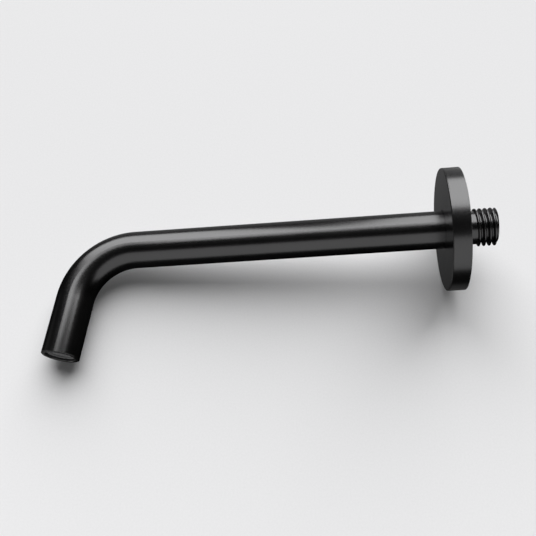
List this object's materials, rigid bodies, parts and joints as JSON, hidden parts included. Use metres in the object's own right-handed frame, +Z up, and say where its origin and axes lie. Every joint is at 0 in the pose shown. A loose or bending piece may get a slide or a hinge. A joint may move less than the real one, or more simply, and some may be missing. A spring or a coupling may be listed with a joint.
{
  "type": "bath spout",
  "caption": "Wall-mounted bath spout: round tube with a long straight arm bent down to a recessed aerator, a thick round wall flange that slides on the arm, and a male threaded inlet.",
  "frame": {"origin": "where the inlet axis meets the wall plane, level with the flange's back rim", "axes": "+Y along the inlet axis into the wall, so the arm reaches out along -Y; +Z up, with the outlet pointing down"},
  "size_m": [0.068, 0.2521, 0.0973],
  "materials": {
    "gunmetal": "brass with a dark gunmetal coating, satin, finely brushed",
    "housing_plastic": "moulded dark grey acetal",
    "insert_plastic": "moulded grey acetal",
    "seal_rubber": "black moulded rubber"
  },
  "bodies": {
    "spout": {"spout_tube": "gunmetal", "inlet_nipple": "gunmetal", "outlet_bush": "gunmetal", "aerator_housing": "housing_plastic", "aerator_grid": "insert_plastic", "aerator_jet_plate": "insert_plastic", "aerator_strainer": "insert_plastic", "aerator_seal": "seal_rubber"},
    "flange_ring": {"flange_o_ring": "seal_rubber"},
    "flange": {"wall_flange": "gunmetal"}
  },
  "joints": [
    {"name": "flange_slide", "type": "slide", "parent": "spout", "child": "flange_ring", "axis": [0, -1, 0], "range_m": [0, 0.17]},
    {"name": "flange_turn", "type": "hinge", "parent": "flange_ring", "child": "flange", "pos_m": [0, 0, 0], "axis": [0, 1, 0], "continuous": true}
  ]
}
